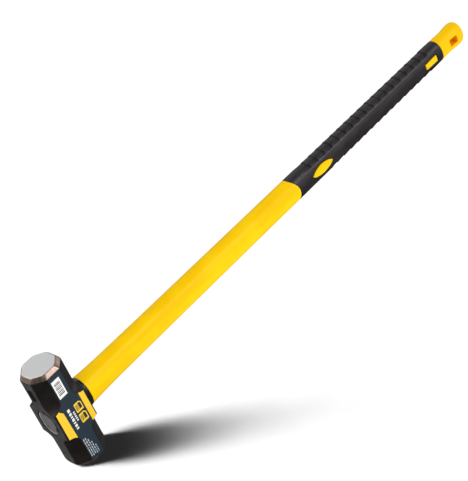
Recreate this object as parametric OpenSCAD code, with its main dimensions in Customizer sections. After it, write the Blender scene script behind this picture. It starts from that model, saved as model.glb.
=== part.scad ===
// Long-handled sledgehammer: a forged octagonal double-faced head on a sleeved fibreglass handle.
// It stands on its lower striking face. +Z is the strike axis, +Y runs along the handle to the butt,
// +X points to the labelled cheek, and the origin is the centre of the lower striking face.

/* [Head] */
// Width of the head across its flats
head_w = 56; // [55:0.5:60]
// Length of the head from striking face to striking face
head_len = 163; // [160:1:168]
// Radius of the round striking face
face_r = 24.8; // [24:0.1:24.8]
// Distance from the strike axis to the flats of the striking face
face_flat = 23.8; // [23:0.1:24]
// Height of the bevel round each striking face
bevel_h = 6.5; // [6:0.5:8.5]
// Radius of the vertical corners of the middle block
block_corner_r = 1.8; // [1:0.1:3]
// Half height of the middle block
block_half = 23; // [22:0.5:25]
// Radius of the cove where each corner chamfer runs out
cove_r = 13; // [12.5:0.5:14]
// Width of the handle eye
eye_w = 31; // [29:0.5:33]
// Height of the handle eye
eye_h = 41; // [39:0.5:43]
// Chamfer round the front mouth of the eye
eye_chamfer = 1.2; // [0.5:0.1:1.5]
// Width of the pressed pocket in the front of the head
pocket_w = 12; // [8:0.5:14]
// Height of the pressed pocket
pocket_h = 22; // [16:1:26]
// Depth of the pressed pocket
pocket_depth = 2.5; // [1:0.5:3]
// Height of the pocket's centre above the handle axis
pocket_z = 49; // [48:0.5:52]

/* [Handle] */
// Distance from the handle's eye centre to the butt end
butt_y = 875; // [868:1:890]
// Half width of the sleeve where it meets the collar
sleeve_half_w = 17.2; // [16.8:0.1:19]
// Half height of the sleeve where it meets the collar
sleeve_half_h = 20.7; // [20.4:0.1:23]
// Loss of half width per metre of handle
taper_w = 3; // [2.6:0.1:4.2]
// Loss of half height per metre of handle
taper_h = 3.2; // [2.8:0.1:4.6]
// Extra half height of the flare next to the collar
flare = 2.2; // [0:0.1:2.5]
// Length over which the flare dies away
flare_run = 30; // [15:1:40]
// Squareness of the oval section, where 2 is an ellipse
section_power = 2.2; // [2:0.1:2.6]
// Length of the black collar
collar_len = 10; // [8:0.5:12]
// How far the collar stands out of the sleeve at the head
collar_flare = 3; // [1:0.5:4]
// Width of the fibreglass core
core_w = 20; // [18:0.5:21]
// Height of the fibreglass core
core_h = 26; // [24:0.5:26.5]
// Thickness of the glue line between parts
bond = 0.05; // [0.02:0.01:0.1]

/* [Grip] */
// Mean place of the front edge of the grip
grip_start = 474; // [470:1:478]
// How much further the front edge reaches on the sides than on the top
grip_scallop = 4; // [0:0.5:5]
// Place of the rear edge of the grip
grip_end = 820; // [818:1:824]
// Thickness of the rubber
grip_t = 2.4; // [2.2:0.1:2.6]
// Place of the first groove
groove_start = 513.6; // [510:0.1:516]
// Distance from groove to groove
groove_pitch = 16.3; // [15.5:0.1:16.4]
// Number of grooves
groove_count = 18; // [12:1:18]
// Grooves left out on the underside, next to the leaf window
lower_skip = 3; // [0:1:6]
// Depth of each groove
groove_depth = 1.6; // [0.5:0.1:1.7]
// Width of each groove
groove_w = 2.8; // [2:0.1:4]
// Angle from the top or bottom at which a groove ends
groove_angle = 45; // [30:1:50]
// Length of the leaf-shaped window
leaf_len = 45.5; // [36:0.5:46]
// Height of the leaf-shaped window
leaf_h = 15.5; // [12:0.5:17]
// Place of the leaf-shaped window's centre
leaf_y = 530.4; // [527:0.1:533]
// Length of the slot-shaped window
slot_len = 26; // [20:0.5:28]
// Height of the slot-shaped window
slot_h = 10; // [8:0.5:12]
// Place of the slot-shaped window's centre
slot_y = 792; // [790:0.5:796]

/* [Butt] */
// Length of the hanging hole along the handle
hole_len = 16; // [12:0.5:18]
// Height of the hanging hole
hole_h = 11.5; // [9:0.5:13]
// Place of the hanging hole's centre
hole_y = 848.5; // [847:0.5:853]
// Extra half size of the knob at the butt
knob = 0.9; // [0:0.1:2]
// Depth of the socket in the butt for the core
socket_depth = 13; // [8:1:13]

/* [Labels] */
// Thickness of the cheek label
label_t = 0.15; // [0.1:0.05:0.3]
// Margin between the label and the edges of the cheek
label_margin = 0.8; // [0.5:0.1:1.1]
// Width of the barcode sticker
barcode_w = 14; // [12:0.5:16]
// Height of the barcode sticker
barcode_h = 30; // [24:1:32]
// Height of the barcode sticker's centre above the handle axis
barcode_z = 52; // [50:0.5:54]
// Thickness of the barcode sticker
barcode_t = 0.1; // [0.05:0.05:0.2]

/* [Hidden] */
$fn = 64;

// Head, in millimetres from the head's centre
half_w = head_w / 2;
axis_z = head_len / 2;
flat_half = half_w * tan(22.5);
corner_r = half_w / cos(22.5);
chamfer_z = block_half + cove_r;
bevel_z = head_len / 2 - bevel_h;
bevel_angle = atan((half_w - face_flat) / bevel_h);
pocket_corner_r = 2;
front_recess = 3.5;
core_front = 4;
core_start = -half_w + front_recess + core_front;

// Collar: how far its rear edge sits below the sleeve, and the rounding of the edge beside the head
collar_steps = 4;
collar_curve = 1.6;
collar_sink = 0.3;
collar_lip = 0.6;
collar_lip_power = 8;

// Handle
section_sides = 32;
collar_end = half_w + collar_len;
core_end = grip_end + socket_depth;
flare_stations = [0, 5, 12, 22, 36, 60, 110, 200, 320];
step_run = 20;
window_root = core_w / 2 + 1;

// Grip: its surface is flush with the sleeve, and inner rings start inside the bore
grip_drop = 0;
grip_inside = -2 * grip_t;
pad_slope = 1;
groove_fade_in = 8;
groove_fade_out = 4;
// The cap lies this much below the grip's surface
cap_drop = 0.4;
edge_round = 1;
leaf_tip = 2;
leaf_fn = 128;
slot_corner_r = 1.5;

// Butt
hole_corner_r = 1.2;
butt_round = 10;
butt_drop = 7.5;
knob_start = 0.45;
knob_end = 0.9;
knob_steps = 4;
knob_places = [for (k = [0 : knob_steps]) knob_start + (knob_end - knob_start) * k / knob_steps];

// Labels
barcode_y = -2.2;
barcode_corner_r = 0.8;

// Overshoot of cutting tools, and the size of the largest ones
eps = 0.5;
far = 200;

// Half width and half height of the handle's outer surface at place y
function flare_at(y) = flare * exp(-(y - collar_end) / flare_run);
function half_w_at(y) = sleeve_half_w - taper_w * (y - collar_end) / 1000 + flare_at(y) / 2;
function half_h_at(y) = sleeve_half_h - taper_h * (y - collar_end) / 1000 + flare_at(y);

// A signed power keeps the superellipse symmetric about both axes
function spow(v, p) = sign(v) * pow(abs(v), p);

// One ring of points round the handle axis, cut by groove on top and by lower times groove below
function ring(y, grow, scallop = 0, groove = 0, lower = 1) =
    [for (k = [0 : section_sides - 1])
        let (t = 360 * k / section_sides,
             cut = groove * groove_window(t) * (cos(t) < 0 ? lower : 1),
             w = half_w_at(y) + grow - cut,
             h = half_h_at(y) + grow - cut)
        [w * spow(sin(t), 2 / section_power), y - scallop * cos(2 * t), h * spow(cos(t), 2 / section_power)]];

// 1 at the top and bottom of the grip, falling to 0 on its smooth side panels
function groove_window(t) =
    let (a = min(t % 180, 180 - t % 180))
    a <= groove_angle - groove_fade_in ? 1 :
    a >= groove_angle + groove_fade_out ? 0 :
    (groove_angle + groove_fade_out - a) / (groove_fade_in + groove_fade_out);

// Solid through a list of rings, closed by a flat cap at each end, so the end rings have no scallop
module loft(rings) {
    n = section_sides;
    m = len(rings);
    sides = [for (j = [0 : m - 2], k = [0 : n - 1])
        let (a = j * n + k, b = j * n + (k + 1) % n, c = b + n, d = a + n)
        each [[a, c, b], [a, d, c]]];
    first_cap = [for (k = [0 : n - 1]) k];
    last_cap = [for (k = [n - 1 : -1 : 0]) (m - 1) * n + k];
    translate([0, 0, axis_z])
        polyhedron(points = [for (r = rings) each r], faces = concat(sides, [first_cap, last_cap]));
}

// Slab of an upright oval with straight sides, along Y from y0 to y1
module oval_bar(w, h, y0, y1) {
    translate([0, y1, axis_z])
        rotate([90, 0, 0])
            linear_extrude(y1 - y0)
                union() {
                    for (s = [-1, 1]) translate([0, s * (h - w) / 2]) circle(d = w);
                    square([w, h - w], center = true);
                }
}

// Flat outline lying in the Y-Z plane, extruded along X from x0 to x1
module side_prism(y, x0, x1) {
    translate([x0, y, axis_z]) rotate([90, 0, 90]) linear_extrude(x1 - x0) children();
}

// Square with its four corners rounded by true arcs
module rounded_rect(w, h, r) {
    square([w - 2 * r, h], center = true);
    square([w, h - 2 * r], center = true);
    for (sx = [-1, 1], sy = [-1, 1]) translate([sx * (w / 2 - r), sy * (h / 2 - r)]) circle(r);
}

// Outline that is cut off each corner of the bar: a 45 degree chamfer that ends in a cove
module chamfer_outline() {
    translate([half_w, chamfer_z]) square([far, far]);
    intersection() {
        translate([half_w + cove_r, chamfer_z]) circle(cove_r);
        translate([half_w, chamfer_z - 2 * cove_r]) square([2 * cove_r, 2 * cove_r]);
    }
}

// Cutter for one corner of the bar, at the upper end for 0 and the lower end for 1
module chamfer_tool(corner, end) {
    rotate([0, 0, corner])
        mirror([0, 0, end])
            translate([0, far / 2, 0]) rotate([90, 0, 0]) linear_extrude(far) chamfer_outline();
}

// Flat bevel on one of the eight sides of an end
module bevel_tool(side, end) {
    rotate([0, 0, side])
        mirror([0, 0, end])
            translate([half_w, -far / 2, bevel_z]) rotate([0, -bevel_angle, 0]) cube([far, far, far]);
}

// Turned envelope that rounds the eight corners of both striking faces and clears the middle block
module turned_envelope() {
    rotate_extrude()
        polygon([[0, -head_len / 2], [face_r, -head_len / 2], [corner_r, -bevel_z], [head_w, -chamfer_z],
                 [head_w, chamfer_z], [corner_r, bevel_z], [face_r, head_len / 2], [0, head_len / 2]]);
}

// Cone and wedge faces that widen the front mouth of the eye by its chamfer
module eye_mouth() {
    r = eye_w / 2;
    straight = eye_h - eye_w;
    profile = [[0, -eps], [r + eye_chamfer + eps, -eps], [r, eye_chamfer], [0, eye_chamfer]];
    translate([0, -half_w, axis_z]) {
        translate([0, 0, -straight / 2])
            linear_extrude(straight) union() {
                polygon(profile);
                mirror([1, 0]) polygon(profile);
            }
        for (s = [-1, 1])
            translate([0, 0, s * straight / 2]) rotate([-90, 0, 0]) rotate_extrude() polygon(profile);
    }
}

module head_pocket() {
    translate([0, -half_w + pocket_depth, axis_z + pocket_z])
        rotate([90, 0, 0]) linear_extrude(pocket_depth + eps) rounded_rect(pocket_w, pocket_h, pocket_corner_r);
}

module head() {
    color([0.16, 0.15, 0.15])
        difference() {
            translate([0, 0, axis_z])
                intersection() {
                    difference() {
                        translate([0, 0, -head_len / 2])
                            linear_extrude(head_len) rounded_rect(head_w, head_w, block_corner_r);
                        for (corner = [45 : 90 : 315], end = [0, 1]) chamfer_tool(corner, end);
                        for (side = [0 : 45 : 315], end = [0, 1]) bevel_tool(side, end);
                    }
                    turned_envelope();
                }
            oval_bar(eye_w, eye_h, -half_w - eps, half_w + eps);
            eye_mouth();
            head_pocket();
        }
}

module core_bar(grow, y0, y1) {
    oval_bar(core_w + 2 * grow, core_h + 2 * grow, y0, y1);
}

module fibreglass_core() {
    color([0.85, 0.82, 0.70]) core_bar(0, core_start, core_end);
}

module eye_resin() {
    color([0.41, 0.38, 0.37])
        difference() {
            oval_bar(eye_w - 2 * bond, eye_h - 2 * bond, -half_w + front_recess, half_w);
            core_bar(bond, core_start - bond, half_w + eps);
        }
}

module collar() {
    color([0.10, 0.10, 0.10])
        difference() {
            loft([for (k = [0 : collar_steps])
                let (f = k / collar_steps,
                     out = collar_flare * pow(1 - f, collar_curve),
                     lip = collar_lip * pow(1 - f, collar_lip_power))
                ring(half_w + bond + (collar_len - bond) * f, out - collar_sink * f - lip)]);
            core_bar(bond, half_w - eps, collar_end + eps);
        }
}

module leaf_outline(grow) {
    // Two large arcs, with the sharp tips cut off square
    arc_r = (pow(leaf_len / 2 + leaf_tip, 2) + pow(leaf_h / 2, 2)) / leaf_h;
    intersection() {
        translate([0, leaf_h / 2 - arc_r]) circle(arc_r + grow, $fn = leaf_fn);
        translate([0, arc_r - leaf_h / 2]) circle(arc_r + grow, $fn = leaf_fn);
        square([leaf_len + 2 * grow, leaf_h + 2 * grow], center = true);
    }
}

module slot_outline(grow) {
    rounded_rect(slot_len + 2 * grow, slot_h + 2 * grow, slot_corner_r);
}

// Both windows on both sides of the grip, from x0 outwards
module windows(grow, x0) {
    for (s = [0, 1]) mirror([s, 0, 0]) {
        side_prism(leaf_y, x0, head_w) leaf_outline(grow);
        side_prism(slot_y, x0, head_w) slot_outline(grow);
    }
}

// The yellow sleeve steps down under the grip and comes up through its windows
module shaft_sleeve() {
    color([0.98, 0.78, 0.05])
        difference() {
            union() {
                loft(concat(
                    [for (d = flare_stations) ring(collar_end + bond + d, 0)],
                    [ring(grip_start, 0, grip_scallop), ring(grip_start, -grip_t, grip_scallop),
                     ring(grip_start + step_run, -grip_t), ring(grip_end, -grip_t)]));
                intersection() {
                    loft([ring(leaf_y - leaf_len, grip_drop), ring(slot_y + slot_len, grip_drop)]);
                    windows(0, window_root);
                }
            }
            core_bar(bond, half_w, grip_end + eps);
        }
}

// Each pad between two grooves is highest at its front edge
function pad_rings(k) =
    let (y = groove_start + k * groove_pitch, lower = k < lower_skip ? 0 : 1)
    [ring(y - groove_w / 2, grip_drop, 0, pad_slope, lower),
     ring(y, grip_drop, 0, groove_depth, lower),
     ring(y + groove_w / 2, grip_drop)];

module grip_sleeve() {
    color([0.13, 0.13, 0.13])
        difference() {
            loft(concat(
                [ring(grip_start - 2 * grip_scallop, grip_inside),
                 ring(grip_start + bond, grip_inside, grip_scallop),
                 ring(grip_start + bond, grip_drop - edge_round, grip_scallop),
                 ring(grip_start + edge_round, grip_drop, grip_scallop)],
                [for (k = [0 : groove_count - 1]) each pad_rings(k)],
                [ring(grip_end - edge_round, grip_drop), ring(grip_end, grip_drop - edge_round)]));
            loft([ring(grip_start - 3 * grip_scallop, bond - grip_t), ring(grip_end + eps, bond - grip_t)]);
            windows(bond, core_w / 2);
        }
}

// The cap is straight at first, then swells to its knob: 0 before the swell and 1 after it
function knob_rise(f) =
    let (t = min(1, max(0, (f - knob_start) / (knob_end - knob_start))))
    t * t * (3 - 2 * t);

module end_cap() {
    body_end = butt_y - butt_round;
    color([0.98, 0.78, 0.05])
        difference() {
            loft(concat(
                [for (f = [0, each knob_places, 1])
                    ring(grip_end + bond + (body_end - grip_end - bond) * f, knob * knob_rise(f) - cap_drop)],
                [for (q = [18 : 18 : 90])
                    ring(body_end + butt_round * sin(q), knob - cap_drop - butt_drop * (1 - cos(q)))]));
            core_bar(bond, grip_end - eps, core_end + bond);
            side_prism(hole_y, -head_w, head_w) rounded_rect(hole_len, hole_h, hole_corner_r);
        }
}

// Outline of the flat of the cheek, where the four coves bite into it
module cheek_outline(margin) {
    run = half_w - block_corner_r - margin / 2;
    reach = cove_r * sqrt(2);
    cove = [for (q = [0 : 10 : 80])
        let (t = flat_half - margin + reach * (1 - cos(q)))
        [min(t, run), chamfer_z - cove_r * sin(q) - margin * sin(q)]];
    quarter = concat([[flat_half - margin, bevel_z - margin]], cove, [[run, block_half - margin]]);
    n = len(quarter);
    polygon(concat(
        [for (k = [0 : n - 1]) quarter[k]],
        [for (k = [n - 1 : -1 : 0]) [quarter[k].x, -quarter[k].y]],
        [for (k = [0 : n - 1]) [-quarter[k].x, -quarter[k].y]],
        [for (k = [n - 1 : -1 : 0]) [-quarter[k].x, quarter[k].y]]));
}

module cheek_label() {
    color([0.20, 0.26, 0.30]) side_prism(0, half_w, half_w + label_t) cheek_outline(label_margin);
}

module barcode_sticker() {
    color([0.95, 0.95, 0.95])
        translate([0, 0, barcode_z])
            side_prism(barcode_y, half_w + label_t, half_w + label_t + barcode_t)
                rounded_rect(barcode_w, barcode_h, barcode_corner_r);
}

head();
fibreglass_core();
eye_resin();
collar();
shaft_sleeve();
grip_sleeve();
end_cap();
cheek_label();
barcode_sticker();
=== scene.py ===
import math

import bmesh
import bpy
import numpy as np
from mathutils import Matrix, Vector


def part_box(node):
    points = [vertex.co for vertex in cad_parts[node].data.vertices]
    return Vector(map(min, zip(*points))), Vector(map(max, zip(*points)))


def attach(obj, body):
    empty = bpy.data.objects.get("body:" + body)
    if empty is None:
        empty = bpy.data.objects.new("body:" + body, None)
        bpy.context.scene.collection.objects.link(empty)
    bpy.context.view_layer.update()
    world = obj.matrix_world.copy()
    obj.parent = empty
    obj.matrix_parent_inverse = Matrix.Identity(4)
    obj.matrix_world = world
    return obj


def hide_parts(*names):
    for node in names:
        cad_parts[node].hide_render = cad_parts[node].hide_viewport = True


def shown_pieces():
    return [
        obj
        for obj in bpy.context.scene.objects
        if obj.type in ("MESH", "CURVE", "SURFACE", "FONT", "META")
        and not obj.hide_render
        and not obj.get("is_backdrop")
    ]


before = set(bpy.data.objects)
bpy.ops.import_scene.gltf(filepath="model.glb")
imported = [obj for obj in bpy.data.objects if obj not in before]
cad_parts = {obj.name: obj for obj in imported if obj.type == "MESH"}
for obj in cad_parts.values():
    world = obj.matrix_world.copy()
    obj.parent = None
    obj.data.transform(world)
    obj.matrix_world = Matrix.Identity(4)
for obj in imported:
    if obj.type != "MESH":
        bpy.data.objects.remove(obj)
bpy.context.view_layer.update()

# A long-handled sledgehammer that stands on its lower striking face.
# Lengths are in millimetres up to the stage: +Z is the strike axis, +Y runs along the handle to the butt,
# +X points to the labelled cheek. closed_mesh() and place_points() turn them into Blender's metres.


def box_mm(node):
    """The lowest and highest corner of a CAD node, in millimetres."""
    low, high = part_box(node)
    return np.array(low) * 1000, np.array(high) * 1000


# Head; HEAD_KEEP is the share of its faces that is kept in the end
head_low, head_high = box_mm("head")
HALF = (head_high[0] - head_low[0]) / 2
HEAD_LEN = head_high[2] - head_low[2]
AXIS_Z = HEAD_LEN / 2
FLAT_HALF = HALF * math.tan(math.radians(22.5))
BLOCK_HALF = 23
COVE_R = 13
CHAMFER_Z = BLOCK_HALF + COVE_R
BEVEL_H = 6.5
FACE_FLAT = 23.8
HOLLOW_DEPTH = 0.1
HEAD_VOXEL = 0.6
HEAD_KEEP = 0.45

# Lower end of the head, battered round: over HEEL_H its flats draw in by HEEL_IN, and over CORNER_H its
# corners draw in from CORNER_R to LOWER_FACE_R at the striking face
HEEL_H = 10
HEEL_IN = 7
CORNER_H = 17
CORNER_R = 30.4
LOWER_FACE_R = 21.5

# Handle: half sizes where the sleeve meets the collar, their loss per millimetre, and the flare there
COLLAR_START, COLLAR_END = (corner[1] for corner in box_mm("collar"))
sleeve_high = box_mm("shaft_sleeve")[1]
FLARE = 2.2
FLARE_RUN = 30
SLEEVE_HALF_W = sleeve_high[0] - FLARE / 2
SLEEVE_HALF_H = sleeve_high[2] - AXIS_Z - FLARE
TAPER_W = 0.003
TAPER_H = 0.0032
SECTION_POWER = 2.2
BOND = 0.05
TURNS = 192

# Grip: flush with the sleeve. Its front edge waves by GRIP_SCALLOP, and its last END_RUN draws in by END_DRAW
grip_low, grip_high = box_mm("grip_sleeve")
GRIP_SCALLOP = 4
SCALLOP_RUN = 26
GRIP_START = grip_low[1] + GRIP_SCALLOP
GRIP_END = grip_high[1]
GRIP_T = 2.4
END_RUN = 16
END_DRAW = 0.35
LIP_RUN = 4.2

# Rings of the grip lie RING_STEP apart, closer within NEAR of a groove or a window, and never within RING_GAP
RING_STEP = 1.6
RING_GAP = 0.2
NEAR = 2
GROOVE_RINGS = 13
WINDOW_STEP = 0.5

# Grooves: floor and rim are shares of the width, from a groove's middle. Angles are in degrees from the top
# or the bottom. Below, the first LOWER_SKIP grooves are left out and the others reach further round. Past
# their ends the sides are inset
GROOVE_START = 513.6
GROOVE_PITCH = 16.3
GROOVE_COUNT = 18
GROOVE_DEPTH = 2.0
GROOVE_W = 3.4
GROOVE_FLOOR = 0.22
GROOVE_RIM = 0.5
GROOVE_ANGLE = 45
FADE_IN = 8
FADE_OUT = 4
LOWER_SKIP = 3
LOWER_REACH = 10
PAD_SLOPE = 1.2
SIDE_INSET = 0.4
SIDE_FADE = (8, 22)

# Windows: the leaf's two arcs would meet LEAF_TIP past its ends, and the slot grows taller towards the butt
# by SLOT_SPREAD a side for each millimetre. The islands lie WINDOW_GAP inside their windows
LEAF_Y = 530
LEAF_LEN = 44.5
LEAF_H = 15.5
LEAF_TIP = 3
SLOT_Y = 792
SLOT_LEN = 27
SLOT_H = 10.5
SLOT_SPREAD = 0.028
SLOT_CORNER_R = 0.9
SLOT_STEP = 1.2
WINDOW_DEPTH = 1.8
WINDOW_LIP = (0.1, 1.1)
WINDOW_GAP = 0.55

# Butt: between KNOB at its end and the grip it narrows by CAP_WAIST, and all of it lies CAP_DROP lower than
# the grip. HOLE_TINT_X is how far from the middle the hole's wall gets a deeper orange as painted shade
BUTT_Y = box_mm("end_cap")[1][1]
HOLE_Y = 848.5
HOLE_LEN = 16
HOLE_H = 11.5
HOLE_CORNER_R = 1.6
HOLE_TINT_X = 14.2
KNOB = 0.9
CAP_DROP = 0.4
CAP_WAIST = 0.25
BUTT_ROUND = 10
BUTT_DROP = 7.5
CAP_VOXEL = 0.42
CAP_KEEP = 0.5

# Label films lie between the cheek label's face and the CAD box
LABEL_X = box_mm("cheek_label")[1][0]
FILM_T = 0.04
FILM_SINK = 0.005
LABEL_MARGIN = 0.8
LABEL_RUN = HALF - 2.2
PRINT_EDGE = LABEL_RUN - 0.15

# Layout of the print, as y along the handle and z above the handle axis
BAND_FOOT_Y = -13.5
BAND_KNEE = (-14.5, 17)
BAND_TOP_Y = -20
STRIPE_Y = 17.5
ICON_FEET = (1, -17)
ROW_Y = (-8.8, -4.8)
ROW_BLOCKS = ((-18.5, 2.6), (-14.4, 4.2), (-8.6, 2.4), (-4.4, 4.6), (1.8, 2.2), (5.6, 4.4), (11.6, 5.0))
SMALL_Y = (-2.6, 0.2)
SMALL_BLOCKS = (-8, -4.6, -1.2, 2.2, 5.6)
PRINT_Y = -9.4
PRINT_W = 1.35
PRINT_PITCH = 3.1
PRINT_TOPS = (-37, -37.5, -42, -49, -57)
PRINT_FOOT = -70.5

# Sticker: its bars start BAR_FOOT above its lower edge and BAR_MARGIN in from its sides
PAPER_LEVEL = 1.5
BAR_LEVEL = 2.3
STICKER_CORNER_R = 0.8
BAR_FOOT = 4.5
BAR_MARGIN = 2
BAR_WIDTHS = (1.6, 1.1, 1.4, 0.8, 1.5, 1.2, 0.9, 1.6, 1.1)
BAR_PITCH = 2.4

# Stage, in metres and degrees: the floor, the spread of each sun in a strip of them, the pieces that throw
# a shadow on the floor, the world's light, and where the camera looks, from how far, and how it is turned
FLOOR_HALF = 9
FLOOR_GAP = 0.0002
SUN_SPREAD = 11
SHADOW_PIECES = ("head_forging", "eye_resin_fill")
WORLD_STRENGTH = 0.024
AZIMUTH, ELEVATION, ROLL = (math.radians(angle) for angle in (58.17, 33.76, -24.87))
AIM = Vector((-0.0028, 0.3523, 0.0851))
DISTANCE = 2.5275
LENS = 134.72
SENSOR_W = 36


def linear(red, green, blue):
    """A display colour from 0 to 255 as Blender's linear RGBA."""
    def channel(value):
        value /= 255
        return value / 12.92 if value <= 0.04045 else ((value + 0.055) / 1.055) ** 2.4
    return (channel(red), channel(green), channel(blue), 1)


# ---------------------------------------------------------------- shaders

class Shader:
    """A material with one Principled shader, and short ways to add and join its nodes."""

    def __init__(self, name, **values):
        self.material = bpy.data.materials.new(name)
        self.material.use_nodes = True
        self.tree = self.material.node_tree
        self.shader = self.tree.nodes["Principled BSDF"]
        for socket, value in values.items():
            self.shader.inputs[socket.replace("_", " ")].default_value = value
        self.place = self.tree.nodes.new("ShaderNodeTexCoord").outputs["Object"]

    def feed(self, socket, value):
        if isinstance(value, bpy.types.NodeSocket):
            self.tree.links.new(value, socket)
        else:
            socket.default_value = value

    def set(self, **values):
        for socket, value in values.items():
            self.feed(self.shader.inputs[socket.replace("_", " ")], value)

    def math(self, operation, *values):
        node = self.tree.nodes.new("ShaderNodeMath")
        node.operation = operation
        for socket, value in zip(node.inputs, values):
            self.feed(socket, value)
        return node.outputs[0]

    def axes(self):
        node = self.tree.nodes.new("ShaderNodeSeparateXYZ")
        self.feed(node.inputs[0], self.place)
        return node.outputs

    def vector(self, x, y, z):
        node = self.tree.nodes.new("ShaderNodeCombineXYZ")
        for socket, value in zip(node.inputs, (x, y, z)):
            self.feed(socket, value)
        return node.outputs[0]

    def stretched(self, x, y, z):
        """The object's coordinates, scaled along each axis."""
        node = self.tree.nodes.new("ShaderNodeVectorMath")
        node.operation = "MULTIPLY"
        self.feed(node.inputs[0], self.place)
        node.inputs[1].default_value = (x, y, z)
        return node.outputs[0]

    def noise(self, size_mm, detail, rough=0.5, place=None, warp=0.0):
        """Noise whose features are about size_mm across."""
        node = self.tree.nodes.new("ShaderNodeTexNoise")
        self.feed(node.inputs["Vector"], place or self.place)
        node.inputs["Scale"].default_value = 1000 / size_mm
        node.inputs["Detail"].default_value = detail
        node.inputs["Roughness"].default_value = rough
        node.inputs["Distortion"].default_value = warp
        return node.outputs["Fac"]

    def cells(self, size_mm):
        """Distance to the middle of the nearest cell, with cells about size_mm across."""
        node = self.tree.nodes.new("ShaderNodeTexVoronoi")
        self.feed(node.inputs["Vector"], self.place)
        node.inputs["Scale"].default_value = 1000 / size_mm
        return node.outputs["Distance"]

    def spread(self, value, low, high, to_low=0.0, to_high=1.0):
        """Maps low..high to to_low..to_high smoothly, and holds the ends."""
        node = self.tree.nodes.new("ShaderNodeMapRange")
        node.interpolation_type = "SMOOTHSTEP"
        for name, number in zip(("From Min", "From Max", "To Min", "To Max"), (low, high, to_low, to_high)):
            self.feed(node.inputs[name], number)
        self.feed(node.inputs["Value"], value)
        return node.outputs["Result"]

    def mix(self, factor, first, second):
        """A blend of two colours."""
        node = self.tree.nodes.new("ShaderNodeMix")
        node.data_type = "RGBA"
        for index, value in zip((0, 6, 7), (factor, first, second)):
            self.feed(node.inputs[index], value)
        return node.outputs[2]

    def blend(self, factor, first, second):
        """A blend of two plain numbers."""
        node = self.tree.nodes.new("ShaderNodeMix")
        for index, value in zip((0, 2, 3), (factor, first, second)):
            self.feed(node.inputs[index], value)
        return node.outputs[0]

    def attribute(self, name):
        node = self.tree.nodes.new("ShaderNodeAttribute")
        node.attribute_name = name
        return node.outputs["Fac"]

    def bump(self, height, depth_mm, strength, normal=None):
        node = self.tree.nodes.new("ShaderNodeBump")
        node.inputs["Distance"].default_value = depth_mm / 1000
        node.inputs["Strength"].default_value = strength
        self.feed(node.inputs["Height"], height)
        if normal:
            self.feed(node.inputs["Normal"], normal)
        return node.outputs["Normal"]


def forged_head():
    """Black paint on forged steel, bare heat-tinted bevels and ground striking faces, split by height."""
    s = Shader("forged_head", Specular_IOR_Level=0.42)
    x, y, z = s.axes()
    height = s.math("ABSOLUTE", s.math("SUBTRACT", z, AXIS_Z / 1000))
    face = s.spread(height, (AXIS_Z - 0.2) / 1000, (AXIS_Z - 0.06) / 1000)
    ragged = s.spread(s.noise(3.0, 3.0), 0.3, 0.7, -0.00035, 0.00035)
    bevel_z = (AXIS_Z - BEVEL_H) / 1000
    bare = s.spread(s.math("ADD", height, ragged), bevel_z - 0.0003, bevel_z + 0.0003)
    # Near the floor the bevel shows only lower_share of its bare metal, so it stays mostly black
    lower_share = 0.35
    bare = s.math("MULTIPLY", bare, s.blend(s.spread(z, 0.02, 0.03), lower_share, 1.0))

    # Paint: fine orange peel over the scale pits of the forging
    tone = s.spread(s.noise(22, 3.0), 0.3, 0.7)
    paint = s.mix(tone, linear(24, 18, 17), linear(33, 26, 24))
    dust = s.math("MULTIPLY", s.spread(s.noise(5, 5.0, 0.65), 0.52, 0.75), 0.25)
    paint = s.mix(dust, paint, linear(60, 50, 45))
    paint_rough = s.spread(s.noise(7, 4.0), 0.3, 0.7, 0.46, 0.58)

    # Bevel: streaks run up the slope, so they vary mostly round the strike axis
    turn = s.math("ARCTAN2", y, x)
    bevel_r = 0.026
    round_trip = s.vector(s.math("MULTIPLY", turn, bevel_r), s.math("MULTIPLY", z, 0.25), 0.0)
    streak = s.noise(2.6, 3.0, 0.55, round_trip)
    patch = s.noise(16, 3.0, 0.5, round_trip)
    metal = s.mix(s.spread(patch, 0.3, 0.7), linear(136, 114, 103), linear(170, 150, 138))
    metal = s.mix(s.spread(streak, 0.45, 0.75, 0.0, 0.35), metal, linear(205, 188, 176))
    metal = s.mix(s.spread(streak, 0.42, 0.22, 0.0, 0.35), metal, linear(96, 79, 71))

    # Striking face: the fine parallel lines of a belt grinder
    grind = s.noise(0.7, 3.0, 0.6, s.stretched(1.0, 0.04, 1.0))
    ground = s.mix(s.spread(grind, 0.3, 0.7), linear(214, 215, 216), linear(220, 221, 221))

    colour = s.mix(face, s.mix(bare, paint, metal), ground)
    rough = s.blend(face, s.blend(bare, paint_rough, s.spread(streak, 0.3, 0.7, 0.34, 0.5)),
                    s.spread(grind, 0.3, 0.7, 0.42, 0.5))
    peel = s.math("MULTIPLY", s.noise(1.3, 3.0, 0.55), s.blend(bare, 1.0, 0.25))
    pits = s.math("MULTIPLY", s.spread(s.noise(6, 4.0, 0.6), 0.35, 0.75), s.blend(bare, 1.0, 0.1))
    off_face = s.math("SUBTRACT", 1.0, face)
    relief = s.bump(s.math("MULTIPLY", pits, off_face), 0.16, 0.55)
    relief = s.bump(s.math("MULTIPLY", peel, off_face), 0.05, 0.5, relief)
    relief = s.bump(grind, 0.004, 0.25, relief)
    s.set(Base_Color=colour, Metallic=s.math("MAXIMUM", bare, face), Roughness=rough, Normal=relief)
    return s.material


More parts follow.
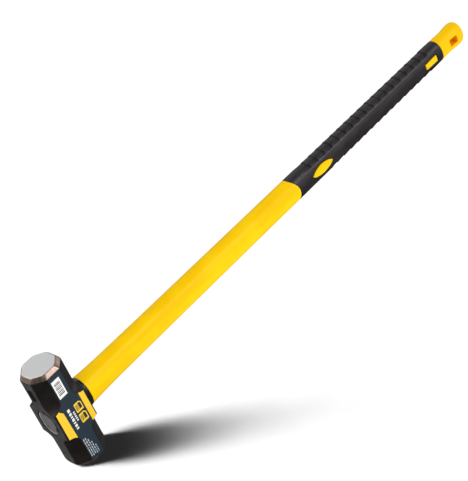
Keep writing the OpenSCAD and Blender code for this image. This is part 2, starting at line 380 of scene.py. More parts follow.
def yellow_plastic(name, pale, deep, hole=None):
    """Moulded plastic with flow lines along the handle and a fine matt grain; hole is a deeper orange painted
    on the walls of the hanging hole as painted shade.
    """
    s = Shader(name, Specular_IOR_Level=0.06)
    flow = s.noise(9, 3.0, 0.55, s.stretched(1.0, 0.06, 1.0))
    cloud = s.noise(45, 2.0)
    tone = s.math("ADD", s.math("MULTIPLY", flow, 0.5), s.math("MULTIPLY", cloud, 0.5))
    colour = s.mix(s.spread(tone, 0.38, 0.62), pale, deep)
    if hole:
        # Painted shade: the walls of the hanging hole are tinted a deeper orange, for the shade and the
        # yellow light bounced round inside it
        x, y, z = s.axes()
        along = s.math("ABSOLUTE", s.math("SUBTRACT", y, HOLE_Y / 1000))
        across = s.math("ABSOLUTE", s.math("SUBTRACT", z, AXIS_Z / 1000))
        outside = s.math("MAXIMUM", s.math("SUBTRACT", along, HOLE_LEN / 2000),
                         s.math("SUBTRACT", across, HOLE_H / 2000))
        depth = s.math("SUBTRACT", HOLE_TINT_X / 1000, s.math("ABSOLUTE", x))
        inside = s.math("MULTIPLY", s.spread(outside, 0.0009, 0.0003), s.spread(depth, 0.0, 0.004))
        colour = s.mix(inside, colour, hole)
    grain = s.noise(0.55, 2.0, 0.6)
    scuff = s.spread(s.noise(4, 5.0, 0.7, s.stretched(1.0, 0.3, 1.0)), 0.6, 0.8)
    rough = s.math("ADD", s.spread(flow, 0.3, 0.7, 0.33, 0.42), s.math("MULTIPLY", scuff, 0.08))
    relief = s.bump(flow, 0.12, 0.35)
    relief = s.bump(grain, 0.02, 0.35, relief)
    s.set(Base_Color=colour, Roughness=rough, Normal=relief)
    return s.material


def moulded_rubber():
    """Black thermoplastic rubber, with a fine spark-eroded grain, a slight bloom, and painted shade in its
    grooves and round its windows.
    """
    s = Shader("moulded_rubber", Specular_IOR_Level=0.35)
    bloom = s.spread(s.noise(11, 4.0, 0.6, s.stretched(1.0, 0.4, 1.0)), 0.35, 0.7)
    colour = s.mix(bloom, linear(38, 34, 37), linear(47, 43, 46))
    # Painted shade: the grooves and the gaps round the windows are darkened towards near-black
    colour = s.mix(s.attribute("painted_shading"), colour, linear(12, 10, 12))
    grain = s.noise(0.45, 2.0, 0.6)
    pores = s.cells(0.8)
    rough = s.spread(s.noise(3, 3.0), 0.3, 0.7, 0.42, 0.52)
    relief = s.bump(pores, 0.05, 0.3)
    relief = s.bump(grain, 0.04, 0.45, relief)
    s.set(Base_Color=colour, Roughness=rough, Normal=relief)
    return s.material


def cast_resin():
    """Grey filled epoxy: cloudy, with small bubbles and a satin skin."""
    s = Shader("cast_resin", Specular_IOR_Level=0.45)
    cloud = s.spread(s.noise(6, 4.0, 0.6, warp=0.6), 0.3, 0.7)
    colour = s.mix(cloud, linear(70, 64, 65), linear(88, 81, 82))
    # The attribute runs from a painted highlight on the wetted rim at 0, over plain resin, to painted shade
    # in the shrunk-away trench at 1
    shade = s.attribute("painted_shading")
    colour = s.mix(s.spread(shade, 0.4, 0.05), colour, linear(176, 172, 174))
    colour = s.mix(s.spread(shade, 0.6, 0.95), colour, linear(14, 12, 13))
    bubbles = s.spread(s.cells(2.2), 0.1, 0.16)
    relief = s.bump(s.noise(2.5, 3.0), 0.08, 0.4)
    relief = s.bump(bubbles, 0.04, 0.3, relief)
    s.set(Base_Color=colour, Roughness=s.spread(s.noise(4, 3.0), 0.3, 0.7, 0.3, 0.46), Normal=relief)
    return s.material


def collar_plastic():
    """Black moulded nylon with a semi-gloss skin."""
    s = Shader("collar_plastic", Specular_IOR_Level=0.55)
    tone = s.spread(s.noise(8, 3.0), 0.3, 0.7)
    colour = s.mix(tone, linear(27, 25, 25), linear(38, 35, 34))
    relief = s.bump(s.noise(2.2, 3.0), 0.05, 0.4)
    relief = s.bump(s.noise(0.5, 2.0), 0.012, 0.3, relief)
    s.set(Base_Color=colour, Roughness=s.spread(s.noise(5, 3.0), 0.3, 0.7, 0.2, 0.3), Normal=relief)
    return s.material


def printed_film(name, base, worn, smoothest=0.34):
    """Printed label film: slight mottle, rub marks and a faint ripple."""
    s = Shader(name, Specular_IOR_Level=0.4)
    mottle = s.spread(s.noise(1.4, 4.0, 0.6), 0.35, 0.75)
    rub = s.math("MULTIPLY", s.spread(s.noise(9, 5.0, 0.7), 0.55, 0.8), 0.5)
    colour = s.mix(s.math("MAXIMUM", s.math("MULTIPLY", mottle, 0.35), rub), base, worn)
    relief = s.bump(s.noise(7, 2.0), 0.05, 0.25)
    relief = s.bump(s.noise(0.7, 2.0), 0.006, 0.3, relief)
    rough = s.spread(s.noise(5, 3.0), 0.3, 0.7, smoothest, smoothest + 0.12)
    s.set(Base_Color=colour, Roughness=rough, Normal=relief)
    return s.material


def drawn_fibreglass():
    """Glass strands run along the rod under a thin resin skin."""
    s = Shader("drawn_fibreglass", Specular_IOR_Level=0.5)
    strand = s.noise(0.5, 3.0, 0.6, s.stretched(1.0, 0.02, 1.0))
    colour = s.mix(s.spread(strand, 0.35, 0.65), linear(226, 218, 190), linear(196, 184, 150))
    s.set(Base_Color=colour, Roughness=s.spread(strand, 0.3, 0.7, 0.3, 0.5), Normal=s.bump(strand, 0.05, 0.5))
    return s.material


HEAD = forged_head()
SLEEVE = yellow_plastic("yellow_sleeve", linear(255, 209, 8), linear(252, 199, 2))
# The third colour is painted shade for the walls of the hanging hole
CAP = yellow_plastic("yellow_cap", linear(253, 203, 5), linear(250, 195, 2), linear(252, 172, 2))
RUBBER = moulded_rubber()
RESIN = cast_resin()
COLLAR = collar_plastic()
SLATE = printed_film("slate_film", linear(40, 54, 65), linear(50, 64, 75))
YELLOW_PRINT = printed_film("yellow_print", linear(252, 206, 46), linear(244, 194, 36), 0.4)
WHITE_PRINT = printed_film("white_print", linear(236, 238, 238), linear(206, 210, 212), 0.45)
GREY_PRINT = printed_film("grey_print", linear(196, 204, 208), linear(150, 160, 166), 0.45)
PAPER = printed_film("sticker_paper", linear(250, 250, 248), linear(232, 231, 228), 0.5)
BAR_INK = printed_film("bar_ink", linear(66, 58, 58), linear(92, 84, 82), 0.5)
FIBRE = drawn_fibreglass()


# ---------------------------------------------------------------- mesh helpers

def closed_mesh(name, points, faces):
    """A mesh from points in millimetres, with its faces turned outwards."""
    mesh = bpy.data.meshes.new(name)
    mesh.from_pydata((np.asarray(points, float) / 1000).tolist(), [], faces)
    shell = bmesh.new()
    shell.from_mesh(mesh)
    bmesh.ops.recalc_face_normals(shell, faces=shell.faces)
    shell.to_mesh(mesh)
    shell.free()
    return mesh


def make(name, points, faces, material, slot, replaces=(), smooth=True, painted_shading=None):
    """A piece from points in millimetres; the last argument holds a value per point for the shader's painted
    shade, and on the resin its painted highlight too.
    """
    mesh = closed_mesh(name, points, faces)
    if painted_shading is not None:
        mesh.attributes.new("painted_shading", "FLOAT", "POINT").data.foreach_set("value", painted_shading)
    adopt(name, mesh, material, replaces, smooth)


def adopt(name, mesh, material, replaces=(), smooth=True):
    """Makes a finished mesh a piece of the object."""
    mesh.materials.clear()
    mesh.materials.append(material)
    mesh.polygons.foreach_set("use_smooth", [smooth] * len(mesh.polygons))
    piece = bpy.data.objects.new(name, mesh)
    bpy.context.scene.collection.objects.link(piece)
    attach(piece, "root")
    if replaces:
        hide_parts(*replaces)


def evaluated(mesh, *modifiers):
    """The mesh after some modifiers, each given as (type, settings)."""
    holder = bpy.data.objects.new("holder", mesh)
    bpy.context.scene.collection.objects.link(holder)
    for kind, settings in modifiers:
        modifier = holder.modifiers.new(kind, kind)
        for key, value in settings.items():
            setattr(modifier, key, value)
    graph = bpy.context.evaluated_depsgraph_get()
    result = bpy.data.meshes.new_from_object(holder.evaluated_get(graph))
    bpy.data.objects.remove(holder)
    return result


def welded(mesh):
    """A copy whose doubled vertices are joined, so that it is one closed shell."""
    shell = bmesh.new()
    shell.from_mesh(mesh)
    bmesh.ops.remove_doubles(shell, verts=shell.verts, dist=1e-6)
    copy = bpy.data.meshes.new("welded")
    shell.to_mesh(copy)
    shell.free()
    return copy


def coordinates(mesh):
    """The mesh's vertices in millimetres, one row each."""
    points = np.empty(len(mesh.vertices) * 3)
    mesh.vertices.foreach_get("co", points)
    return points.reshape(-1, 3) * 1000


def place_points(mesh, points):
    mesh.vertices.foreach_set("co", (points / 1000).ravel())
    mesh.update()


def relax(mesh, rounds, weight):
    """Moves each vertex towards its neighbours' mean, by weight(points), to round edges."""
    points = coordinates(mesh)
    edges = np.empty(len(mesh.edges) * 2, int)
    mesh.edges.foreach_get("vertices", edges)
    a, b = edges.reshape(-1, 2).T
    count = np.bincount(edges, minlength=len(points))[:, None]
    share = weight(points)[:, None]
    for _ in range(rounds):
        total = [np.bincount(a, points[b, k], len(points)) + np.bincount(b, points[a, k], len(points))
                 for k in range(3)]
        points = points + share * (np.stack(total, 1) / count - points)
    place_points(mesh, points)


def smoothstep(value, low, high):
    """0 at low and 1 at high; low may be the larger one."""
    t = np.clip((value - low) / (high - low), 0, 1)
    return t * t * (3 - 2 * t)


def tube(rings):
    """Points and faces of a closed skin through rings of equal length."""
    count, n = rings.shape[:2]
    index = np.arange(count * n).reshape(count, n)
    turned = np.roll(index, -1, 1)
    quads = np.stack([index[:-1], turned[:-1], turned[1:], index[1:]], -1).reshape(-1, 4).tolist()
    return rings.reshape(-1, 3), quads + [index[0].tolist(), index[-1][::-1].tolist()]


def slab(outline, x_low, x_high):
    """Points and faces of a flat film: an outline of (y, head-centred z), from x_low to x_high."""
    n = len(outline)
    points = [(x, y, z + AXIS_Z) for x in (x_low, x_high) for y, z in outline]
    sides = [(k, (k + 1) % n, n + (k + 1) % n, n + k) for k in range(n)]
    return points, sides + [list(range(n))[::-1], [n + k for k in range(n)]]


def rounded_box(half_len, half_high, radius, spread=0.0):
    """Corner arcs of a box round the origin, which grows taller along its length by spread a side."""
    outline = []
    for end, side, start in ((1, 1, 0), (-1, 1, 90), (-1, -1, 180), (1, -1, 270)):
        along = end * (half_len - radius)
        height = side * (half_high + spread * end * half_len - radius)
        for q in np.radians(start + np.linspace(0, 90, 7)):
            outline.append((along + radius * math.cos(q), height + radius * math.sin(q)))
    return outline


def joined(parts):
    """Several (points, faces) as one."""
    points = []
    faces = []
    for some_points, some_faces in parts:
        start = len(points)
        points += [tuple(p) for p in some_points]
        faces += [[start + k for k in face] for face in some_faces]
    return points, faces


# ---------------------------------------------------------------- handle surface

def spow(value, power):
    """A signed power, which keeps the oval section symmetric."""
    return np.sign(value) * np.abs(value) ** power


def flare_at(y):
    return FLARE * np.exp(-(y - COLLAR_END) / FLARE_RUN)


def half_w(y):
    return SLEEVE_HALF_W - TAPER_W * (y - COLLAR_END) + flare_at(y) / 2


def half_h(y):
    return SLEEVE_HALF_H - TAPER_H * (y - COLLAR_END) + flare_at(y)


def surface(y, turn, grow=0.0):
    """The handle's outer surface, grown outwards; turn is the angle from +Z towards +X."""
    y, turn, grow = np.broadcast_arrays(y, turn, grow)
    x = (half_w(y) + grow) * spow(np.sin(turn), 2 / SECTION_POWER)
    z = (half_h(y) + grow) * spow(np.cos(turn), 2 / SECTION_POWER)
    return np.stack([x, y, z + AXIS_Z], -1)


TURN = np.linspace(0, 2 * math.pi, TURNS, endpoint=False)[None, :]
SCALLOP = -GRIP_SCALLOP * np.cos(2 * TURN)


def side_radius(y, height):
    """Half width of the sleeve at a height above the axis."""
    fraction = np.clip(np.abs(height) / half_h(y), 0, 1)
    return half_w(y) * (1 - fraction ** SECTION_POWER) ** (1 / SECTION_POWER)


# ---------------------------------------------------------------- head

def arc_drop(share):
    """How far a quarter circle has fallen: 1 where share is 0, easing to 0 where it is 1."""
    return 1 - np.sqrt(1 - (1 - share) ** 2)


def batter(points):
    """Draws in the lower end of the head, first its flats and then its corners."""
    height = points[:, 2]
    up = np.clip(height, 0, HEEL_H)
    bevelled = HALF - (HALF - FACE_FLAT) * np.clip(1 - up / BEVEL_H, 0, 1)
    battered = HALF - HEEL_IN * arc_drop(up / HEEL_H)
    points[:, :2] *= np.minimum(battered / bevelled, 1)[:, None]
    reach = np.hypot(points[:, 0], points[:, 1])
    limit = CORNER_R - (CORNER_R - LOWER_FACE_R) * arc_drop(np.clip(height, 0, CORNER_H) / CORNER_H)
    limit = np.where(height < CORNER_H, limit, reach)
    points[:, :2] *= np.minimum(limit / np.maximum(reach, 1), 1)[:, None]


def hollowed(points, normals):
    """A forging is never quite flat: shallow hollows, only inwards, none on the striking faces."""
    x, y, z = points.T
    wave = (np.sin(x * 0.21 + 1.3 * np.sin(z * 0.09)) * np.sin(z * 0.13 + 0.7 + 0.8 * np.sin(y * 0.17))
            + 0.6 * np.sin(y * 0.31 + 0.5 * np.sin(x * 0.23)) * np.sin(z * 0.27 + 2.1))
    # The two waves peak at 1 and 0.6
    peak = 1.6
    flank = 1 - smoothstep(np.abs(z - AXIS_Z), AXIS_Z - BEVEL_H - 4, AXIS_Z - BEVEL_H)
    hollow = HOLLOW_DEPTH * (wave + peak) / (2 * peak) * flank
    return points - normals * hollow[:, None]


def build_head():
    mesh = evaluated(welded(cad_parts["head"].data),
                     ("REMESH", {"mode": "VOXEL", "voxel_size": HEAD_VOXEL / 1000}))

    def softness(points):
        """Forged edges are round; the rims of the ground striking faces are crisper."""
        return 0.5 - 0.3 * smoothstep(np.abs(points[:, 2] - AXIS_Z), AXIS_Z - 1.5, AXIS_Z - 0.3)

    def heel(points):
        """Only the battered end is relaxed again, and its striking face stays flat."""
        return 0.5 * smoothstep(points[:, 2], 14, 6) * smoothstep(points[:, 2], 0.0, 1.0)

    relax(mesh, 9, softness)
    points = coordinates(mesh)
    batter(points)
    place_points(mesh, points)
    relax(mesh, 6, heel)
    normals = np.empty(len(mesh.vertices) * 3)
    mesh.vertices.foreach_get("normal", normals)
    points = hollowed(coordinates(mesh), normals.reshape(-1, 3))
    place_points(mesh, np.clip(points, [-HALF, -HALF, 0], [HALF, HALF, HEAD_LEN]))
    mesh = evaluated(mesh, ("DECIMATE", {"ratio": HEAD_KEEP}))
    adopt("head_forging", mesh, HEAD, ["head"])


def build_resin():
    """Cast resin: it wetted the eye up to the chamfer on one side, and shrank away from the opposite one."""
    low, high = box_mm("eye_resin")
    half = (high[0] - low[0]) / 2
    straight = (high[2] - low[2]) / 2 - half
    turn = np.linspace(0, 2 * math.pi, 96, endpoint=False)
    x = np.sin(turn) * half
    z = np.cos(turn) * half + np.sign(np.cos(turn)) * straight
    # 1 towards the labelled side and the top, where it shrank, and -1 opposite
    pull = np.cos(turn - math.radians(60))
    middle_depth = 1.9
    tilt = 0.4
    trench_depth = 2.6
    rim_height = 0.6
    rings = []
    shades = []
    # Shares of the way from the middle of the eye to its wall
    for f in (0.15, 0.3, 0.45, 0.55, 0.62, 0.67, 0.71, 0.75, 0.79, 0.83, 0.88, 0.92, 0.95, 0.975, 1.0):
        trench = smoothstep(f, 0.7, 0.79) * smoothstep(pull, -0.1, 0.6)
        rim = smoothstep(f, 0.88, 0.95) * smoothstep(-pull, 0.0, 0.5)
        depth = middle_depth + tilt * f * pull + trench_depth * trench - rim_height * rim
        rings.append(np.stack([x * f, -HALF + depth, z * f + AXIS_Z], -1))
        # Painted shade in the trench where the resin shrank away, and a painted highlight on the rim where it
        # wetted the chamfer
        trench_shade = smoothstep(f, 0.62, 0.7) * smoothstep(pull, -0.25, 0.4)
        shades.append(0.5 + 0.5 * trench_shade - 0.5 * rim)
    rings.append(np.stack([x, np.full_like(x, high[1]), z + AXIS_Z], -1))
    shades.append(shades[-1])
    make("eye_resin_fill", *tube(np.array(rings)), RESIN, "grey_resin", ["eye_resin"],
         painted_shading=np.array(shades).ravel())


# ---------------------------------------------------------------- collar and sleeve

def build_collar():
    """A stepped ring: a wide lip against the head and a waist that carries the sleeve."""
    # (place along the collar from 0 to 1, growth over the sleeve's surface)
    profile = [(0.0, -6.0), (0.0, 1.7), (0.03, 2.1), (0.1, 2.25), (0.22, 2.0), (0.34, 1.5), (0.46, 1.05),
               (0.52, 0.95), (0.55, 0.55), (0.6, 0.4), (0.75, 0.2), (0.9, 0.0), (0.97, -0.25), (1.0, -0.6),
               (1.0, -6.0)]
    rings = [surface(COLLAR_START + (COLLAR_END - COLLAR_START) * f, TURN, grow)[0] for f, grow in profile]
    make("collar_ring", *tube(np.array(rings)), COLLAR, "black_collar", ["collar"])


def build_sleeve():
    """Tapered tube; its hidden end steps down under the grip."""
    start = COLLAR_END + BOND
    y = np.concatenate([[start, start, start + 0.3], start + np.geomspace(0.8, 60, 26),
                        np.linspace(start + 66, GRIP_START - 12, 60)])
    grow = np.concatenate([[-5.0, -0.5, -0.12], np.zeros(len(y) - 3)])
    bare = surface(y[:, None], TURN, grow[:, None])
    # The rings bend to the grip's scalloped edge, and a lip turns down to the step
    ease = np.array([0.3, 0.6, 1.0])[:, None]
    edge = surface(GRIP_START - 9 * (1 - ease) - 0.8 + ease * SCALLOP, TURN)
    lip = surface(GRIP_START - np.array([0.45, 0.15, 0.0])[:, None] + SCALLOP, TURN,
                  np.array([-0.02, -0.12, -0.5])[:, None])
    under = surface(GRIP_START + 1.5 + SCALLOP, TURN, -GRIP_T)
    rest = surface(np.array([GRIP_START + 20, GRIP_END])[:, None], TURN, -GRIP_T)
    make("sleeve_tube", *tube(np.concatenate([bare, edge, lip, under, rest])), SLEEVE, "yellow_plastic",
         ["shaft_sleeve"])


# ---------------------------------------------------------------- grip

def leaf_half(along, margin=0.0):
    """Half height of the leaf window at a distance from its middle; its tips are blunt."""
    reach = LEAF_LEN / 2 + margin
    f = np.clip(np.abs(along) / reach, 0, 1)
    lens = 1 - (f * reach / (reach + LEAF_TIP)) ** 2
    return (LEAF_H / 2 + margin) * lens * np.sqrt(1 - f ** 10)


def window_dip(points):
    """0 on the grip, 1 inside a window, with a rounded lip between."""
    along = points[..., 1]
    height = np.abs(points[..., 2] - AXIS_Z)
    leaf = np.maximum(height - leaf_half(along - LEAF_Y), np.abs(along - LEAF_Y) - LEAF_LEN / 2)
    slot_half = SLOT_H / 2 + SLOT_SPREAD * (along - SLOT_Y)
    slot = np.maximum(height - slot_half, np.abs(along - SLOT_Y) - SLOT_LEN / 2)
    return 1 - smoothstep(np.minimum(leaf, slot), *WINDOW_LIP)


def groove_relief(y, turn):
    """Inward depth of the pads and grooves on the top and bottom of the grip, and how much is groove."""
    step = (y - GROOVE_START) / GROOVE_PITCH
    nearest = np.clip(np.round(step), 0, GROOVE_COUNT - 1)
    offset = (step - nearest) * GROOVE_PITCH
    groove = 1 - smoothstep(np.abs(offset), GROOVE_FLOOR * GROOVE_W, GROOVE_RIM * GROOVE_W)
    # Each pad slopes down towards the groove behind it
    pad = step - np.floor(step)
    sloped = (step > -1) & (step < GROOVE_COUNT - 1)
    slope = np.where(sloped, PAD_SLOPE * pad, 0)
    angle = np.degrees(np.arccos(np.abs(np.cos(turn))))
    below = np.cos(turn) < 0
    end = GROOVE_ANGLE + np.where(below, LOWER_REACH, 0)
    window = 1 - smoothstep(angle, end - FADE_IN, end + FADE_OUT)
    past_skipped = smoothstep(step, LOWER_SKIP - 0.8, LOWER_SKIP - 0.5)
    window = window * np.where(below, past_skipped, 1)
    side = smoothstep(angle, end + SIDE_FADE[0], end + SIDE_FADE[1])
    return window * (GROOVE_DEPTH * groove + slope * (1 - groove)) + SIDE_INSET * side, window * groove


def grip_places():
    """Places of the grip's rings: evenly spaced, and closer at each groove and window."""
    even = np.arange(GRIP_START + 5, GRIP_END - 2, RING_STEP)
    across = np.linspace(-NEAR, NEAR, GROOVE_RINGS)
    grooves = GROOVE_START + GROOVE_PITCH * np.arange(GROOVE_COUNT)[:, None] + across
    windows = [middle + np.arange(-length / 2 - NEAR, length / 2 + NEAR, WINDOW_STEP)
               for middle, length in ((LEAF_Y, LEAF_LEN), (SLOT_Y, SLOT_LEN))]
    places = np.sort(np.concatenate([even, grooves.ravel(), *windows]))
    return places[np.concatenate([[True], np.diff(places) > RING_GAP])]


def build_grip():
    """Rubber skin with grooves and windows pressed into it; its front end closes inside the bore."""
    start = surface(GRIP_START - 6, TURN, -2 * GRIP_T)
    inner = surface(GRIP_START + BOND + SCALLOP, TURN, -1.9 * GRIP_T)
    # (distance from the front edge, depth under the sleeve's surface)
    lip = np.array([(BOND, 1.4), (BOND, 0.55), (0.2, 0.22), (0.6, 0.05), (1.2, 0), (2.2, 0), (3.4, 0)])
    front = surface(GRIP_START + lip[:, :1] + SCALLOP, TURN, -lip[:, 1:])

    # The scallop fades out over the first part of the grip, and every ring stays behind the lip
    y = grip_places()[:, None]
    place = y + (1 - smoothstep(y, GRIP_START, GRIP_START + SCALLOP_RUN)) * SCALLOP
    place = np.maximum(place, GRIP_START + LIP_RUN + SCALLOP)
    depth, groove = groove_relief(place, TURN)
    # The windows are on the sides only
    dip = window_dip(surface(place, TURN)) * (np.abs(np.sin(TURN)) > 0.5)
    drawn = END_DRAW * smoothstep(place, GRIP_END - END_RUN, GRIP_END)
    body = surface(place, TURN, -np.maximum(depth, WINDOW_DEPTH * dip) - drawn)

    # (distance from the rear edge, depth)
    edge = np.array([(1.3, 0), (0.7, 0.1), (0.25, 0.4), (0, 1)])
    rear = surface(GRIP_END - edge[:, :1], TURN, -END_DRAW - edge[:, 1:])
    rings = np.concatenate([start, inner, front, body, rear])
    first = len(start) + len(inner) + len(front)
    painted_shading = np.zeros(rings.shape[:2])
    # Painted shade: the grooves and the windows' gaps are marked for darker rubber
    painted_shading[first:first + len(body)] = np.maximum(groove, dip)
    make("grip_rubber", *tube(rings), RUBBER, "black_rubber", ["grip_sleeve"], painted_shading=painted_shading.ravel())


def build_island(name, side, outline, middle):
    """A yellow island that fills one window: outline rings shrink to its middle and follow the sleeve."""
    along, height = outline.T
    long = np.abs(along).max()
    tall = np.abs(height).max()
    rings = []
    # (distance in from the outline, height over the sleeve's surface)
    for shrink, lift in ((0.0, -2.0), (0.0, -0.45), (0.12, -0.12), (0.35, 0.06), (0.8, 0.12), (1.6, 0.16),
                         (3.0, 0.18), (0.8 * tall, 0.19), (0.97 * tall, 0.19)):
        y = middle + along * (1 - shrink / long)
        h = height * (1 - shrink / tall)
        x = side * (side_radius(y, h) + lift)
        rings.append(np.stack([x, y, h + AXIS_Z], -1))
    make(name, *tube(np.array(rings)), SLEEVE, "yellow_plastic", ["shaft_sleeve"])


def leaf_outline():
    """Outline of a leaf island, as distances from its middle along the handle and above the axis."""
    along = np.cos(np.linspace(0, math.pi, 49)) * (LEAF_LEN / 2 - WINDOW_GAP)
    height = leaf_half(along, -WINDOW_GAP)
    upper = np.stack([along, height], -1)
    lower = np.stack([along[::-1], -height[::-1]], -1)[1:-1]
    return np.concatenate([upper, lower])


def slot_outline():
    """The same for a slot island, with its straight edges divided so that they follow the sleeve's curve."""
    corners = rounded_box(SLOT_LEN / 2 - WINDOW_GAP, SLOT_H / 2 - WINDOW_GAP, SLOT_CORNER_R, SLOT_SPREAD)
    outline = []
    for corner, following in zip(corners, corners[1:] + corners[:1]):
        pieces = max(1, int(math.dist(corner, following) / SLOT_STEP))
        for k in range(pieces):
            outline.append([a + (b - a) * k / pieces for a, b in zip(corner, following)])
    return np.array(outline)


def build_islands():
    for side, tag in ((1, "label_side"), (-1, "plain_side")):
        build_island("leaf_island_" + tag, side, leaf_outline(), LEAF_Y)
        build_island("slot_island_" + tag, side, slot_outline(), SLOT_Y)


# ---------------------------------------------------------------- butt

def build_cap():
    """Moulded butt: a straight part with a faint waist, a knob, a round end and the hanging hole."""
    start = GRIP_END + BOND
    body_end = BUTT_Y - BUTT_ROUND
    f = np.linspace(0, 1, 40)[1:]
    waist = CAP_WAIST * smoothstep(f, 0.1, 0.4) * (1 - smoothstep(f, 0.5, 0.8))
    q = np.radians(np.linspace(4.5, 90, 20))
    y = np.concatenate([[start, start, start + 0.35], start + (body_end - start) * f,
                        body_end + BUTT_ROUND * np.sin(q)])
    grow = np.concatenate([[-4.0, -0.7, -0.1], KNOB * smoothstep(f, 0.5, 0.9) - CAP_DROP - waist,
                           KNOB - CAP_DROP - BUTT_DROP * (1 - np.cos(q))])
    skin = closed_mesh("cap_skin", *tube(surface(y[:, None], TURN, grow[:, None])))
    hole = rounded_box(HOLE_LEN / 2, HOLE_H / 2, HOLE_CORNER_R)
    cutter = slab([(HOLE_Y + along, height) for along, height in hole], -HALF, HALF)
    tool = bpy.data.objects.new("hole_tool", closed_mesh("hole_cutter", *cutter))
    bpy.context.scene.collection.objects.link(tool)
    mesh = evaluated(skin, ("BOOLEAN", {"object": tool, "operation": "DIFFERENCE", "solver": "EXACT"}),
                     ("REMESH", {"mode": "VOXEL", "voxel_size": CAP_VOXEL / 1000}))
    bpy.data.objects.remove(tool)
    relax(mesh, 7, lambda points: np.full(len(points), 0.5))
    mesh = evaluated(mesh, ("DECIMATE", {"ratio": CAP_KEEP}))
    adopt("butt_cap", mesh, CAP, ["end_cap"])


# ---------------------------------------------------------------- label

def cove_edge(along):
    """Height of the label's edge above the handle axis, where the coves bite into the cheek."""
    reach = COVE_R * math.sqrt(2)
    q = math.acos(max(-1.0, 1 - (abs(along) - FLAT_HALF + LABEL_MARGIN) / reach))
    return CHAMFER_Z - (COVE_R + LABEL_MARGIN) * math.sin(q)


def cove_path(start, end, sign):
    """Points along the label's upper edge for sign 1, and along its lower edge for -1."""
    return [(y, sign * cove_edge(y)) for y in np.linspace(start, end, 12)]


def rounded(corners, radius):
    """A polygon with its corners rounded by curves that begin radius away from them."""
    out = []
    for here, before, after in zip(corners, corners[-1:] + corners[:-1], corners[1:] + corners[:1]):
        here = np.array(here, float)
        u = (before - here) / np.linalg.norm(before - here)
        v = (after - here) / np.linalg.norm(after - here)
        for t in np.linspace(0, 1, 5):
            out.append(tuple(here + radius * (u * (1 - t) ** 2 + v * t ** 2)))
    return out


def block(y0, y1, z0, z1, radius):
    return rounded([(y0, z0), (y1, z0), (y1, z1), (y0, z1)], radius)


def cut_block(y0, y1, z0, z1, cut, radius):
    """A block with its last corner cut off."""
    return rounded([(y0, z0), (y1, z0), (y1, z1 - cut), (y1 - cut, z1), (y0, z1)], radius)


def film(name, outlines, material, slot, level=1, replaces=()):
    """Printed areas as one thin film; level counts films from the label outwards."""
    low = LABEL_X + FILM_T * (level - 1) - FILM_SINK
    parts = [slab(outline, low, LABEL_X + FILM_T * level) for outline in outlines]
    make(name, *joined(parts), material, slot, replaces, smooth=False)


def build_bands():
    """A broad band with a kinked border at one edge of the label, and a narrow stripe at the other."""
    border = [(BAND_FOOT_Y, -cove_edge(BAND_FOOT_Y)), BAND_KNEE, (BAND_TOP_Y, cove_edge(BAND_TOP_Y))]
    upper = cove_path(BAND_TOP_Y, -PRINT_EDGE, 1)[1:]
    lower = cove_path(-PRINT_EDGE, BAND_FOOT_Y, -1)[:-1]
    stripe = cove_path(STRIPE_Y, PRINT_EDGE, 1) + cove_path(PRINT_EDGE, STRIPE_Y, -1)
    film("label_bands", [border + upper + lower, stripe], YELLOW_PRINT, "slate_label")


def build_icons():
    """Two square icons with a cut corner, each with a plain mark and three bars on it."""
    icons = []
    marks = []
    for z in ICON_FEET:
        icons.append(cut_block(3, 15, z, z + 15, 3, 1.3))
        marks.append(cut_block(9.2, 13.6, z + 3, z + 13, 2, 0.9))
        marks += [block(y, y + 0.8, z + 2.6, z + 12, 0.2) for y in (4.2, 5.8, 7.4)]
    film("label_icons", icons, YELLOW_PRINT, "slate_label")
    film("label_icon_marks", marks, SLATE, "slate_label", 2)


def build_row():
    """A row of white blocks of uneven width, and a row of smaller ones beside it."""
    row = [block(*ROW_Y, z, z + width, 0.6) for z, width in ROW_BLOCKS]
    small = [block(*SMALL_Y, z, z + 2.2, 0.35) for z in SMALL_BLOCKS]
    film("label_row", row + small, WHITE_PRINT, "slate_label")


def build_small_print():
    """Lines of dashes of uneven length, each from its own top down to a common foot."""
    rng = np.random.default_rng(7)
    dashes = []
    for k, top in enumerate(PRINT_TOPS):
        y = PRINT_Y + PRINT_PITCH * k
        z = top
        while z > PRINT_FOOT + 1:
            length = rng.uniform(2.0, 5.0)
            dashes.append(block(y, y + PRINT_W, max(z - length, PRINT_FOOT), z, 0.3))
            z -= length + rng.uniform(1.0, 1.6)
    film("label_small_print", dashes, GREY_PRINT, "slate_label")


def build_barcode():
    """White sticker with bars that encode nothing."""
    low, high = box_mm("barcode_sticker")
    foot = low[2] - AXIS_Z
    paper = block(low[1], high[1], foot, high[2] - AXIS_Z, STICKER_CORNER_R)
    film("barcode_paper", [paper], PAPER, "white_sticker", PAPER_LEVEL, ["barcode_sticker"])
    bars = []
    left = low[1] + BAR_MARGIN
    right = high[1] - BAR_MARGIN
    z = foot + BAR_FOOT
    for width in BAR_WIDTHS:
        bars.append([(left, z), (right, z), (right, z + width), (left, z + width)])
        z += BAR_PITCH
    film("barcode_bars", bars, BAR_INK, "white_sticker", BAR_LEVEL)


def repaint(node, material):
    """A new material for a node that keeps its CAD mesh."""
    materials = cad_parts[node].data.materials
    materials.clear()
    materials.append(material)


build_head()
build_resin()
build_collar()
build_sleeve()
build_grip()
build_islands()
build_cap()
build_bands()
build_icons()
build_row()
build_small_print()
build_barcode()
repaint("cheek_label", SLATE)
repaint("fibreglass_core", FIBRE)


# ---------------------------------------------------------------- stage

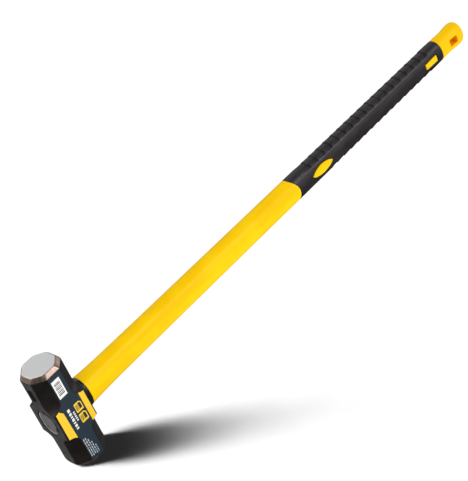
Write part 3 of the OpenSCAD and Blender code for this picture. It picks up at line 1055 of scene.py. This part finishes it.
def build_floor():
    """A pale studio floor, a hair below the lower striking face."""
    s = Shader("studio_floor", Specular_IOR_Level=0.1)
    colour = s.mix(s.spread(s.noise(60, 3.0), 0.3, 0.7), (0.88, 0.88, 0.88, 1), (0.9, 0.9, 0.9, 1))
    s.set(Base_Color=colour, Roughness=0.8)
    corners = [(FLOOR_HALF * x, FLOOR_HALF * y, 0) for x, y in ((-1, -1), (1, -1), (1, 1), (-1, 1))]
    mesh = bpy.data.meshes.new("floor")
    mesh.from_pydata(corners, [], [(0, 1, 2, 3)])
    mesh.materials.append(s.material)
    floor = bpy.data.objects.new("floor", mesh)
    bpy.context.scene.collection.objects.link(floor)
    floor.location.z = -FLOOR_GAP
    floor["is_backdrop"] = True
    return floor


def collection(name, pieces):
    made = bpy.data.collections.new(name)
    for piece in pieces:
        made.objects.link(piece)
    return made


def soft_sun(name, direction, spread, strength, lights, casters):
    """Even, parallel studio light from a direction; lights and casters are collections."""
    light = bpy.data.lights.new(name, "SUN")
    light.angle = math.radians(spread)
    light.energy = strength
    lamp = bpy.data.objects.new(name, light)
    bpy.context.scene.collection.objects.link(lamp)
    lamp.matrix_world = Vector(direction).normalized().to_track_quat("Z", "Y").to_matrix().to_4x4()
    lamp.light_linking.receiver_collection = lights
    lamp.light_linking.blocker_collection = casters


def strip_light(name, bearing, middle, width, total, lights, casters):
    """A tall strip of suns a quarter of its width apart: shadows are soft along it and crisp across it."""
    steps = [middle + width * k / 4 for k in range(-7, 12)]
    shares = [math.exp(-0.5 * ((step - middle) / width) ** 2) for step in steps]
    for k, (step, share) in enumerate(zip(steps, shares)):
        elevation = math.radians(step)
        direction = [axis * math.cos(elevation) for axis in bearing] + [math.sin(elevation)]
        strength = total * share / sum(shares) / math.sin(elevation)
        soft_sun(name + "_" + str(k), direction, SUN_SPREAD, strength, lights, casters)


def limit_reflections(floor):
    """The floor isn't mirrored in the object, and bright yellow doesn't tint the head."""
    floor.visible_glossy = False
    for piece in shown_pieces():
        # Only the cap passes diffuse light on, which brightens its own hole
        piece.visible_diffuse = piece.active_material == CAP
        piece.visible_glossy = piece.active_material != SLEEVE


def build_lights(floor):
    """One strip of suns for the floor, which only the head shades, and seven suns for the object."""
    on_floor = collection("on_floor", [floor])
    on_object = collection("on_object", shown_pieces())
    head_pieces = collection("head_pieces", [bpy.data.objects[name] for name in SHADOW_PIECES])
    strip_light("floor_key", (-0.803, -0.595), 42, 14, 3.7, on_floor, head_pieces)
    for name, direction, spread, strength in (("camera_fill", (0.86, -0.32, 0.4), 24, 0.6),
                                              ("right_strip", (0.71, 0.44, 0.55), 15, 0.95),
                                              ("right_fill", (0.86, 0.44, 0.27), 40, 0.95),
                                              ("top_panel", (-0.706, 0.438, 0.556), 56, 0.49),
                                              ("overhead", (-0.45, -0.4, 0.8), 60, 1.78),
                                              ("left_low", (-0.706, -0.438, -0.27), 60, 0.5),
                                              ("back", (-0.17, 0.97, -0.1), 40, 0.55)):
        soft_sun(name, direction, spread, strength, on_object, on_object)


def build_world():
    world = bpy.data.worlds.new("studio")
    bpy.context.scene.world = world
    world.use_nodes = True
    background = world.node_tree.nodes["Background"]
    background.inputs["Color"].default_value = (1, 1, 1, 1)
    background.inputs["Strength"].default_value = WORLD_STRENGTH
    bpy.context.scene.view_settings.view_transform = "Standard"


def build_camera():
    back = Vector((math.sin(AZIMUTH) * math.cos(ELEVATION), -math.cos(AZIMUTH) * math.cos(ELEVATION),
                   math.sin(ELEVATION)))
    level = Vector((math.cos(AZIMUTH), math.sin(AZIMUTH), 0))
    up = back.cross(level)
    right = math.cos(ROLL) * level + math.sin(ROLL) * up
    turned_up = math.cos(ROLL) * up - math.sin(ROLL) * level
    data = bpy.data.cameras.new("photo_camera")
    data.sensor_width = SENSOR_W
    data.lens = LENS
    camera = bpy.data.objects.new("photo_camera", data)
    bpy.context.scene.collection.objects.link(camera)
    turned = Matrix((right, turned_up, back)).transposed().to_4x4()
    camera.matrix_world = Matrix.Translation(AIM + back * DISTANCE) @ turned
    bpy.context.scene.camera = camera


floor = build_floor()
limit_reflections(floor)
build_lights(floor)
build_world()
build_camera()
